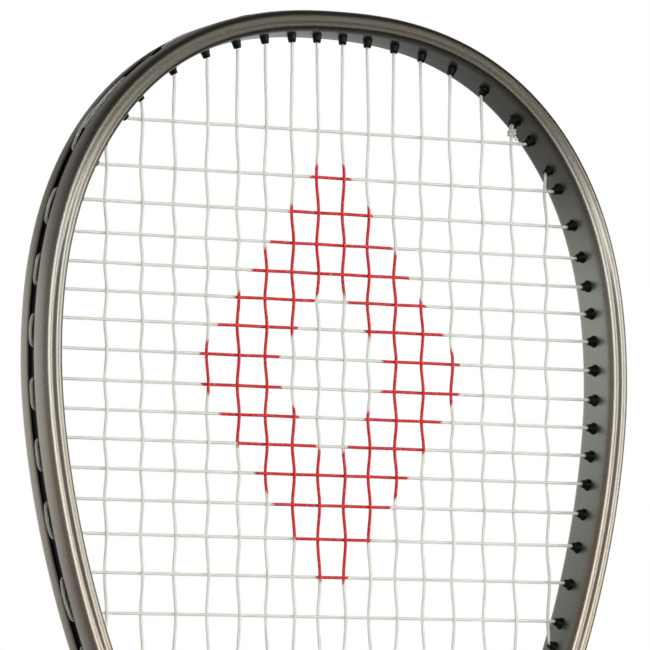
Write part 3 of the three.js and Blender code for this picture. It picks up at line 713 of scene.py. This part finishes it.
class Hole:
    """One grommet hole: its mouth on the string's line, its axis, and its exit in the channel."""

    def __init__(self, rail, mouth, axis, flange):
        self.rail, self.mouth, self.axis, self.flange = rail, mouth, axis, flange
        self.wider = 0.0
        reach, s = rail.meet(mouth, axis)
        point, normal, width, _ = rail.at(s)
        self.exit = mouth + axis * (reach + (width - LOOP_DEPTH) / (axis @ normal))
        self.s = s + (self.exit - point) @ np.array([-normal[1], normal[0]])


def string_hole(start, way):
    """The hole that a straight string, from start along way, leads to."""
    start, way = np.array(start, float), np.array(way, float)
    meets = {rail: rail.meet(start, way) for rail in (bridge, hairpin)}
    rail = min((r for r in meets if meets[r]), key=lambda r: meets[r][0])
    reach, s = meets[rail]
    point, normal, width, _ = rail.at(s)
    mouth = start + way * (reach - (inner_half(width, point[1]) + BARREL_TIP) / (way @ normal))
    outer = bridge if rail is bridge and way[1] < 0 and abs(start[0]) < BRIDGE_SPAN else hairpin
    axis = way * TILT + outer.at(outer.meet(mouth, normal)[1])[1] * (1 - TILT)
    flange = MAIN_FLANGE if way[0] == 0 and abs(mouth[0]) < INNER_MAIN_SPAN else CROSS_FLANGE
    return Hole(outer, mouth, unit(axis), flange)


def tie_hole(s):
    point, normal, width, _ = hairpin.at(s)
    return Hole(hairpin, point - normal * (inner_half(width, point[1]) + BARREL_TIP), normal, CROSS_FLANGE)


def between(first, second, share):
    return tie_hole(first.s + (second.s - first.s) * share)


main_tops = [string_hole((x, WIDEST_Z), (0, 1)) for x in MAINS]
main_bottoms = [string_hole((x, WIDEST_Z), (0, -1)) for x in MAINS]
cross_rights = [string_hole((0, z), (1, 0)) for z in CROSSES]
cross_lefts = [string_hole((0, z), (-1, 0)) for z in CROSSES]
shared = main_tops[SHARED_MAIN]
shared.wider = SHARED_WIDER
ties = {
    "main_right": between(cross_rights[16], cross_rights[17], 0.5),
    "main_left": between(cross_lefts[16], cross_lefts[17], TIE_SHARES[0]),
    "cross_end": between(cross_lefts[16], cross_lefts[17], TIE_SHARES[1]),
}
HOLES = main_tops + main_bottoms + cross_rights + cross_lefts + list(ties.values())


# ---------------- grommets

def barrel_rings(hole):
    """Fluted barrel with a flange against the inner wall, a chamfered tip and a bore."""
    length = norm(hole.exit - hole.mouth)
    wall = BARREL_TIP - 0.15
    back = length - 1.05
    profile = [
        (0.25, BORE_RADIUS), (0.0, BORE_RADIUS + 0.12), (0.0, TIP_RADIUS - 0.2), (0.2, TIP_RADIUS),
        (wall - 1.3, BARREL_RADIUS), (wall - 0.75, hole.flange - 0.1), (wall - 0.5, hole.flange),
        (wall + 0.5, hole.flange), (wall + 0.6, BARREL_RADIUS),
        (back, BARREL_RADIUS), (back + 0.25, BARREL_RADIUS - 0.25), (back + 0.25, BORE_RADIUS + 0.2),
        (back, BORE_RADIUS),
    ]
    profile = [(t, r + hole.wider) for t, r in profile]
    return turned(in_plane(hole.mouth), in_plane(hole.axis), profile, segments=32, ribs=0.03)


def drilled(hole, start, end, radius, segments):
    """Rings of a plain cylinder along a hole."""
    profile = ((start, radius + hole.wider), (end, radius + hole.wider))
    return turned(in_plane(hole.mouth), in_plane(hole.axis), profile, segments)


def strip_section(width, depth, z):
    """A shallow trough that lines the channel."""
    low = width - CHANNEL_DEPTH + STRIP_LIFT
    floor, rim = low + STRIP_THICKNESS, width - STRIP_BELOW_LIP
    half, inside = STRIP_HALF, STRIP_HALF - STRIP_WALL
    side = [(low, half), (rim - 0.12, half), (rim, half - 0.12), (rim, inside + 0.1), (rim - 0.1, inside),
            (floor + 0.3, inside), (floor + 0.08, inside - 0.2), (floor, inside - 0.5), (floor, half * 0.3)]
    return mirrored(side)


def bumper_section(swell):
    """Web on the channel floor and two rounded ribs; swell is 1 along the guard and 0 at its ends."""
    def outline(width, depth, z):
        low = width - CHANNEL_DEPTH + STRIP_LIFT
        floor = low + STRIP_THICKNESS
        under = width - SEAT + 0.1
        top = under + 0.4 + (width - under - 0.35) * swell
        rib = SEAT_HALF - 0.15
        side = [
            (floor, 2.0), (top - 0.5, 2.4), (top - 0.12, 2.65), (top, 3.0), (top + 0.03, 4.2),
            (top, rib - 0.5), (top - 0.1, rib - 0.15), (top - 0.3, rib), (under + 0.02, rib),
            (under, rib - 0.1), (under, 3.1), (low + 0.25, STRIP_HALF), (low, STRIP_HALF - 0.2),
        ]
        return mirrored(side)
    return outline


def bumper_rings():
    low, high = BUMPER_LOW + 2 * SEAT_END, BUMPER_HIGH - 2 * SEAT_END
    stations = np.linspace(low, high, int((high - low) / STATION_STEP))
    return [station_ring(hairpin, s, bumper_section(eased(s, low, high))) for s in stations]


def holes_on(rail, low, high):
    return [hole for hole in HOLES if hole.rail is rail and low < hole.s < high]


def reshaded(piece, angle):
    """Smooth shading, with edges sharper than an angle in degrees kept."""
    piece.data.shade_smooth()
    piece.data.set_sharp_from_angle(angle=math.radians(angle))


def strip(node, rings, holes):
    """A strip with its barrels joined on and its bores left open."""
    points, faces = skin(rings)
    piece = make_object(node, points, faces, "racket", NYLON, "black_nylon", smooth=45)
    bores = [(drilled(hole, -2, 30, BORE_RADIUS, 16), False) for hole in holes]
    cutter = make_object("cutter", *joined(bores), "racket", NYLON)
    boolean(piece, cutter, "DIFFERENCE")
    parts = [(barrel_rings(hole), True) for hole in holes]
    barrels = make_object("barrels", *joined(parts), "racket", NYLON)
    boolean(piece, barrels, "UNION")
    reshaded(piece, 40)


def build_grommets():
    low = hairpin.meet(np.array([0, STRIP_LOW_Z]), np.array([1.0, 0]))[1]
    high = hairpin.length - low
    for side, span in (("right", (low, BUMPER_LOW)), ("left", (BUMPER_HIGH, high))):
        strip("grommet_strip_" + side, sweep(hairpin, *span, strip_section), holes_on(hairpin, *span))
    strip("bumper_guard", bumper_rings(), holes_on(hairpin, BUMPER_LOW, BUMPER_HIGH))
    throat = holes_on(bridge, 0, bridge.length)
    ends = min(h.s for h in throat) - THROAT_STRIP_END, max(h.s for h in throat) + THROAT_STRIP_END
    strip("throat_grommet_strip", sweep(bridge, *ends, strip_section), throat)


def build_hoop():
    drills = [(drilled(hole, 0.5, 26, DRILL_RADIUS, 20), False) for hole in HOLES]
    for node, rings in (("frame", hoop_rings()), ("throat_bridge", bridge_rings())):
        points, faces = skin(rings)
        piece = make_object(node, points, faces, "racket", LACQUER, "frame_lacquer")
        boolean(piece, make_object("drills", *joined(drills), "racket", LACQUER), "DIFFERENCE")
        reshaded(piece, 50)


# ---------------- strings

def woven(stops, amplitude):
    """Points of one string between its crossings: pairs of place along it and height across the bed."""
    points = []
    for (a, ya), (b, yb) in zip(stops[:-1], stops[1:]):
        count = max(2, int(abs(b - a) / STRING_STEP))
        for k in range(count):
            t = k / count
            points.append((a + (b - a) * t, (ya + (yb - ya) * (1 - math.cos(math.pi * t)) / 2) * amplitude))
    return points


def main_run(i):
    """A main from its bottom exit to its top exit."""
    low, high, x = main_bottoms[i], main_tops[i], MAINS[i]
    met = [j for j, z in enumerate(CROSSES) if low.mouth[1] + 1 < z < high.mouth[1] - 1]
    stops = [(CROSSES[j], -1 if (i + j) % 2 else 1) for j in reversed(met)]
    stops = [(low.mouth[1], 0), *stops, (high.mouth[1] - 1.5, 0)]
    weave = [np.array([x, y, z]) for z, y in woven(stops, MAIN_WEAVE)[1:]]
    aside = -SHARED_APART if high is shared else 0.0
    top = [in_plane(high.mouth - [0, 1.5]), in_plane(high.mouth, aside), in_plane(high.exit, aside)]
    return [in_plane(low.exit), in_plane(low.mouth), *weave, *top]


def cross_run(j):
    """A cross from its left exit to its right exit."""
    left, right, z = cross_lefts[j], cross_rights[j], CROSSES[j]
    met = [i for i, x in enumerate(MAINS) if left.mouth[0] + 1 < x < right.mouth[0] - 1
           and main_bottoms[i].mouth[1] < z < main_tops[i].mouth[1]]
    stops = [(MAINS[i], 1 if (i + j) % 2 else -1) for i in met]
    stops = [(left.mouth[0], 0), *stops, (right.mouth[0], 0)]
    weave = [np.array([x, y, z]) for x, y in woven(stops, CROSS_WEAVE)[1:]]
    return [in_plane(left.exit), in_plane(left.mouth), *weave, in_plane(right.mouth), in_plane(right.exit)]


def loop(start, end, lane):
    """Points in the channel between two exits, beside any hole that lies between."""
    rail = start.rail
    low, high = min(start.s, end.s), max(start.s, end.s)
    passes = any(h.rail is rail and low + 1 < h.s < high - 1 for h in HOLES)
    side = lane if passes else 0.0
    lead = min(LOOP_LEAD, (high - low) / 3)
    places = np.linspace(low + lead, high - lead, max(2, int((high - low) / 4)))
    points = []
    for s in places if start.s < end.s else places[::-1]:
        point, normal, width, _ = rail.at(s)
        swell = LOOP_SWELL * math.sin(math.pi * (s - low) / (high - low))
        points.append(in_plane(point + normal * (width - LOOP_DEPTH + swell), side * eased(s, low, high)))
    return points


def knot(tie):
    """The end of a string: two turns round its own line inside the head, then a short cut tail."""
    origin, axis = in_plane(tie.mouth), -in_plane(tie.axis)
    across = np.array([0.0, 1.0, 0.0])
    third = np.cross(axis, across)
    points = []
    for k in range(29):
        t = k / 28
        angle = t * KNOT_TURNS * 2 * math.pi
        radius = 1.25 * min(1, t * 9)
        out = (across * math.cos(angle) + third * math.sin(angle)) * radius
        points.append(origin + axis * (2.4 - 1.9 * t) + out)
    points.append(points[-1] + (points[-1] - points[-2]) * 2 + axis * 1.6)
    points.append(points[-1] + axis * 2.2 + third * 0.8)
    return [origin + axis * 0.6, origin + axis * 2.4, *points[1:]]


def tail(start, tie, lane):
    return [*loop(start, tie, lane), in_plane(tie.exit), in_plane(tie.mouth), *knot(tie)]


def shared_tail():
    """The first cross begins tied round a main, under the wide grommet that the two strings share."""
    x, z = shared.mouth
    approach = loop(cross_rights[0], shared, 0.0)
    for k, point in enumerate(approach):
        point[1] = SHARED_APART * (k + 1) / len(approach)
    turns = np.linspace(0, KNOT_TURNS * 2 * math.pi, 28)
    radius = 2 * STRING_RADIUS + 0.02
    coil = [np.array([x + radius * math.sin(a), radius * math.cos(a), z - 1.7 - 0.2 * a]) for a in turns]
    bore = [in_plane(shared.exit, SHARED_APART), in_plane(shared.mouth, SHARED_APART)]
    return [*approach, *bore, *coil, coil[-1] + [1.2, 0.3, -1.4]]


def strung(runs, exits, lanes):
    """A string's runs, to and fro, with a loop in the channel after each but the last."""
    path = []
    for k, run in enumerate(runs):
        path += run
        if k + 1 < len(runs):
            path += loop(exits[k % 2][k], exits[k % 2][k + 1], lanes[k])
    return path


def main_path():
    runs = [main_run(i)[::-1 if i % 2 else 1] for i in range(len(MAINS))]
    lanes = [LOOP_LANE if i == 1 else -LOOP_LANE for i in range(len(MAINS))]
    start = tail(main_bottoms[0], ties["main_left"], -LOOP_LANE)[::-1]
    end = tail(main_bottoms[-1], ties["main_right"], -LOOP_LANE)
    return start + strung(runs, (main_tops, main_bottoms), lanes) + end


def cross_path():
    runs = [cross_run(j)[::1 if j % 2 else -1] for j in range(len(CROSSES))]
    end = tail(cross_lefts[-1], ties["cross_end"], -LOOP_LANE)
    return shared_tail()[::-1] + strung(runs, (cross_lefts, cross_rights), [LOOP_LANE] * len(CROSSES)) + end


def rounded(path):
    """The path with its sharp bends replaced by short curves."""
    path = [np.asarray(p, float) for p in path]
    out = [path[0]]
    for before, here, after in zip(path[:-2], path[1:-1], path[2:]):
        back, ahead = before - here, after - here
        reach = min(norm(back), norm(ahead))
        if reach < 1e-6:
            continue
        back, ahead = unit(back), unit(ahead)
        if -(back @ ahead) > math.cos(math.radians(6)):
            out.append(here)
            continue
        pull = min(BEND_RADIUS, reach * 0.49)
        a, b = here + back * pull, here + ahead * pull
        for t in np.linspace(0, 1, 6):
            out.append(a * (1 - t) ** 2 + here * 2 * t * (1 - t) + b * t ** 2)
    return np.array(out + [path[-1]])


def string_rings(path):
    """Rings of a round string along a path, carried on without twist."""
    path = rounded(path)
    keep = np.concatenate([[True], norm(np.diff(path, axis=0), axis=1) > 0.02])
    path = path[keep]
    ways = np.gradient(path, axis=0)
    ways /= norm(ways, axis=1)[:, None]
    side = np.cross(ways[0], [0.0, 1.0, 0.0])
    angles = around(STRING_SIDES)
    rings = []
    for point, way in zip(path, ways):
        side = unit(side - way * (side @ way))
        up = np.cross(side, way)
        ring = np.outer(np.cos(angles), side) + np.outer(np.sin(angles), up)
        rings.append(point + STRING_RADIUS * ring)
    return rings


def build_strings():
    for node, path in (("main_string", main_path()), ("cross_string", cross_path())):
        points, faces = skin(string_rings(path))
        make_object(node, points, faces, "racket", STRING, "string", smooth=80)


# ---------------- handle

class Measured:
    """Outer and inner radius of a node about the handle's axis."""

    def __init__(self, node):
        bm = welded(node)
        self.tree = BVHTree.FromBMesh(bm)
        bm.free()
        self.low, self.high = box(node)[0][2], box(node)[1][2]
        self.angles = around(HANDLE_ANGLES)

    def ring(self, z, outer, soften=4):
        z = min(max(z, self.low + 0.05), self.high - 0.05)
        radii = []
        for angle in self.angles:
            way = Vector((math.cos(angle), math.sin(angle), 0))
            centre = Vector((0, 0, z * MM))
            start, way = (centre + way * 0.1, -way) if outer else (centre, way)
            hit = self.tree.ray_cast(start, way)[0]
            radii.append(hit.xy.length / MM)
        radii = np.array(radii)
        return sum(np.roll(radii, k) for k in range(-soften, soften + 1)) / (2 * soften + 1)


def shell(node, body, material, slot, levels, relief=None, edge=0.5, smooth=50):
    """A hollow sleeve measured on its CAD node, with rounded rims and an optional relief."""
    sleeve = Measured(node)
    turn = sleeve.angles
    circle = np.column_stack([np.cos(turn), np.sin(turn)])

    def placed(radii, z):
        return np.column_stack([circle * radii[:, None], np.full(len(turn), z)])

    low, high = sleeve.low, sleeve.high
    rings = []
    for z in np.linspace(low, high, levels):
        radii = sleeve.ring(z, outer=True)
        if relief is not None:
            radii = radii + relief(turn, z)
        inset = edge * (1 - math.sqrt(max(0, 1 - max(0, 1 - min(z - low, high - z) / edge) ** 2)))
        rings.append(placed(radii - inset, z))
    for z in np.linspace(high, low, max(levels // 8, 4)):
        rings.append(placed(sleeve.ring(z, outer=False), z))
    points, faces = skin(rings, closed=True)
    return make_object(node, points, faces, body, material, slot, smooth)


def winding(turn, z):
    """Relief of the overlapped tape: a soft swell across each turn and a narrow valley at its edge."""
    phase = np.mod(z / WRAP_PITCH - turn / (2 * math.pi), 1)
    edge = np.minimum(phase, 1 - phase)
    return WRAP_SWELL * np.sin(math.pi * phase) ** 0.5 - WRAP_VALLEY * np.exp(-(edge / 0.03) ** 2)


def collar_ribs(turn, z):
    low, waist = box("collar")[0][2], box("finishing_tape")[1][2]
    band = smooth_step(z, low + 1.2, low + 2) * (1 - smooth_step(z, waist + 1.5, waist + 2.5))
    return np.full_like(turn, 0.22 * band * math.cos((z - low) * 2 * math.pi / 2.2))


def softened(node, body, material, slot, width):
    """The CAD shape with its flat faces made whole and its edges rounded."""
    bm = welded(node)
    bmesh.ops.dissolve_limit(bm, angle_limit=math.radians(0.8), verts=bm.verts, edges=bm.edges)
    bm.verts.ensure_lookup_table()
    points = [np.array(v.co) / MM for v in bm.verts]
    faces = [tuple(v.index for v in f.verts) for f in bm.faces]
    bm.free()
    piece = make_object(node, points, faces, body, material, slot, 35)
    bevel = piece.modifiers.new("bevel", "BEVEL")
    bevel.width, bevel.segments, bevel.limit_method = width * MM, 3, "ANGLE"
    bevel.angle_limit = math.radians(25)
    baked(piece)
    reshaded(piece, 35)


def build_handle():
    shell("grip", "racket", WRAP, "grip_wrap", 180, winding, edge=0.9)
    shell("finishing_tape", "racket", TAPE, "tape", 16, edge=0.2)
    shell("collar", "collar", COLLAR_RUBBER, "collar_rubber", 60, collar_ribs, edge=0.6)
    softened("butt_cap", "racket", NYLON, "black_nylon", 0.45)
    softened("trap_door", "trap_door", NYLON, "black_nylon", 0.35)
    for nodes, material, slot, width in (
        (("pallet_front", "pallet_back"), FOAM, "handle_foam", 0.5),
        (("tube_plug_right", "tube_plug_left"), FOAM, "plug_foam", 0.5),
        (("butt_staple_right", "butt_staple_left"), STEEL, "staple_wire", 0.25),
    ):
        for node in nodes:
            softened(node, "racket", material, slot, width)


# ---------------- dampener

def arc(middle, radius, start, end, count):
    """Points of a round edge about a middle, between two angles in degrees."""
    return [(middle[0] + radius * math.cos(a), middle[1] + radius * math.sin(a))
            for a in np.radians(np.linspace(start, end, count))]


def build_dampener():
    """A rubber spool round the two centre mains, with a domed insert in its face."""
    low, high = box("dampener_body")
    cap_low, cap_high = box("dampener_cap")
    centre = np.array([0, 0, (low[2] + high[2]) / 2])
    front, back, seat = low[1], high[1], cap_high[1] + 0.25
    radius, cap = (high[2] - low[2]) / 2, (cap_high[2] - cap_low[2]) / 2
    rest, back_radius, slot = cap + 0.25, radius - 0.9, DAMPENER_SLOT
    waist = MAINS[len(MAINS) // 2] - STRING_RADIUS - 0.3
    body = [(seat, 0.02), (seat, rest - 0.4), (seat - 0.15, rest), (front + 0.5, rest),
            (front + 0.12, rest + 0.12), (front, rest + 0.45)]
    body += arc((front + 1.1, radius - 1.1), 1.1, 175, 90, 8)
    body += [(front + 1.9, radius), (front + 2.1, radius - 0.18), (front + 2.3, radius),
             (-slot - 0.7, radius), (-slot - 0.2, radius - 0.2), (-slot, radius - 0.7),
             (-slot, waist + 0.3), (-slot + 0.3, waist), (slot - 0.3, waist), (slot, waist + 0.3),
             (slot, back_radius - 0.7), (slot + 0.2, back_radius - 0.2), (slot + 0.7, back_radius)]
    body += arc((back - 0.9, back_radius - 0.9), 0.9, 90, 5, 7)
    body += [(back, back_radius * 0.5), (back, 0.02)]
    foot = cap_high[1]
    insert = [(foot, 0.02), (foot, cap - 0.15), (foot - 0.15, cap), (front + 0.55, cap)]
    insert += [(front + 0.25 - 0.25 * math.sin(a), cap - 0.35 + 0.35 * math.cos(a))
               for a in np.radians(np.linspace(10, 90, 5))]
    for share in np.linspace(0.85, 0.05, 14):
        groove = 0.16 * math.exp(-((share - 0.62) / 0.05) ** 2)
        insert.append((front - DOME * (1 - share ** 2) * 0.5 + groove, (cap - 0.35) * share))
    for node, profile, material, slot_name in (("dampener_body", body, RUBBER, "dampener_rubber"),
                                               ("dampener_cap", insert, ACCENT, "dampener_accent")):
        points, faces = skin(turned(centre, (0, 1, 0), profile, 96))
        make_object(node, points, faces, "dampener", material, slot_name, 40)


# ---------------- studio

CAMERA_AZIMUTH = -27.0
CAMERA_ELEVATION = -5.72
CAMERA_DISTANCE = 2065
CAMERA_LENS = 288.8
CAMERA_ROLL = -0.2
CAMERA_TARGET_X = -2.6
CAMERA_TARGET_BELOW_TIP = 124.5
FLOOR_DROP = 45
FLOOR_HALF = 14
LIGHT_ELEVATION = 4
LIGHT_DISTANCE = 2.4
LIGHT_SIZE = (1.15, 1.25)


def toward(azimuth, elevation):
    """Unit vector from the racket towards a direction: azimuth 0 is the front and 90 the racket's right."""
    a, e = math.radians(azimuth), math.radians(elevation)
    return Vector((math.sin(a) * math.cos(e), -math.cos(a) * math.cos(e), math.sin(e)))


def aimed(item, place, rotation):
    item.location = place
    item.rotation_mode = "QUATERNION"
    item.rotation_quaternion = rotation


def build_camera():
    target = Vector((CAMERA_TARGET_X, 0, box("bumper_guard")[1][2] - CAMERA_TARGET_BELOW_TIP)) * MM
    back = toward(CAMERA_AZIMUTH, CAMERA_ELEVATION)
    data = bpy.data.cameras.new("camera")
    data.lens = CAMERA_LENS
    data.clip_end = 100
    camera = linked("camera", data)
    roll = Quaternion((0, 0, 1), math.radians(CAMERA_ROLL))
    aimed(camera, target + back * CAMERA_DISTANCE * MM, (-back).to_track_quat("-Z", "Y") @ roll)
    bpy.context.scene.camera = camera


def area_light(name, azimuth, power):
    data = bpy.data.lights.new(name, "AREA")
    data.shape = "RECTANGLE"
    data.size, data.size_y = LIGHT_SIZE
    data.energy = power
    light = linked(name, data)
    way = toward(azimuth, LIGHT_ELEVATION)
    aimed(light, Vector((0, 0, WIDEST_Z * MM)) + way * LIGHT_DISTANCE, way.to_track_quat("Z", "Y"))
    light.visible_camera = False


def build_world():
    """White to the camera. To everything else: bright low down behind the racket and dim elsewhere."""
    world = bpy.data.worlds.new("studio")
    world.use_nodes = True
    world.node_tree.nodes.clear()
    nodes = Nodes(world.node_tree)
    way = nodes.axes(nodes.add("TexCoord").outputs["Generated"])

    def span(axis, low, high, to_low, to_high):
        return nodes.span(way[axis], low, high, to_low, to_high, smooth=True)

    behind = nodes.times(span("Y", -0.1, 0.75, 0.22, 1.3), span("X", -0.1, 0.4, 1.0, 0.85))
    level = nodes.math("MINIMUM", span("Z", 0.15, 0.3, 1.0, 0.35), span("Z", -0.35, 0.0, 0.35, 1.0))
    total = nodes.plus(behind, span("X", -0.9, 0.1, 0.42, 0.0))
    white = tone(1, 1, 1)
    lit = nodes.add("Background", {"Color": white, "Strength": nodes.times(total, level)})
    seen = nodes.add("Background", {"Color": white})
    to_camera = nodes.add("LightPath").outputs["Is Camera Ray"]
    mix = nodes.add("MixShader", {0: to_camera, 1: lit.outputs[0], 2: seen.outputs[0]})
    nodes.add("OutputWorld", {0: mix.outputs[0]})
    bpy.context.scene.world = world


def build_floor():
    """A pale floor under the butt, clear from below."""
    shader = Shader("pale_floor")
    cloud = shader.noise(3)
    colour = shader.mix(cloud, tone(0.14, 0.14, 0.138), tone(0.16, 0.16, 0.158))
    material = shader.finish(Base_Color=colour, Roughness=0.8, Emission_Color=tone(1, 1, 1),
                             Emission_Strength=0.72)
    surfaces = {0: shader.add("NewGeometry").outputs["Backfacing"], 1: shader.surface.outputs[0],
                2: shader.add("BsdfTransparent").outputs[0]}
    output = shader.tree.nodes["Material Output"].inputs["Surface"]
    shader.feed(output, shader.add("MixShader", surfaces).outputs[0])
    mesh = bpy.data.meshes.new("floor")
    corners = [(x * FLOOR_HALF, y * FLOOR_HALF, 0) for x, y in ((-1, -1), (1, -1), (1, 1), (-1, 1))]
    mesh.from_pydata(corners, [], [(0, 1, 2, 3)])
    mesh.materials.append(material)
    floor = linked("floor", mesh)
    floor.location.z = -FLOOR_DROP * MM
    floor.visible_glossy = False
    floor.visible_diffuse = False


def build_studio():
    build_camera()
    build_world()
    build_floor()
    area_light("front", azimuth=3, power=36)
    area_light("right", azimuth=56, power=29)
    bpy.context.scene.view_settings.view_transform = "Standard"


build_hoop()
build_grommets()
build_strings()
build_handle()
build_dampener()
build_studio()
